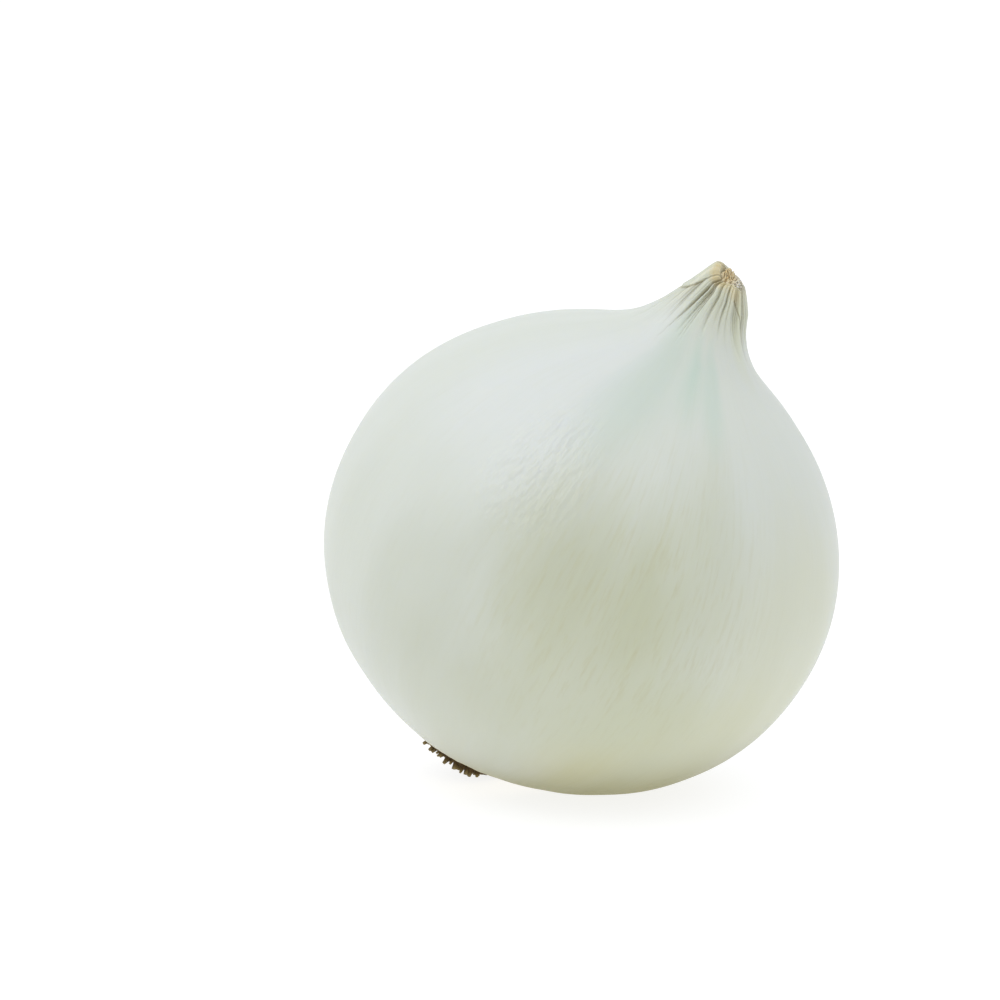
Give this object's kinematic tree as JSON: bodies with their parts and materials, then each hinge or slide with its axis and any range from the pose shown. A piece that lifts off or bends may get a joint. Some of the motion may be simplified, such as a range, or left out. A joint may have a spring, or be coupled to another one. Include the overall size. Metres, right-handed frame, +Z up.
{
  "type": "onion",
  "caption": "Large white globe onion lying at rest on its side: smooth pale bulb, pleated neck with dry tan leaf ends, and a tuft of short brown root stubs.",
  "frame": {"origin": "middle of the small flat spot under the bulb that the onion rests on", "axes": "+Z up from the surface that the onion rests on; +X towards the side that the neck leans to, +Y away from the side that shows best"},
  "size_m": [0.0893, 0.0897, 0.0933],
  "materials": {
    "skin": "satin",
    "dry_leaf": "matte",
    "dry_root": "matte"
  },
  "bodies": {
    "root": {"bulb": "skin", "neck_tip": "dry_leaf", "root_tuft": "dry_root"}
  },
  "joints": []
}
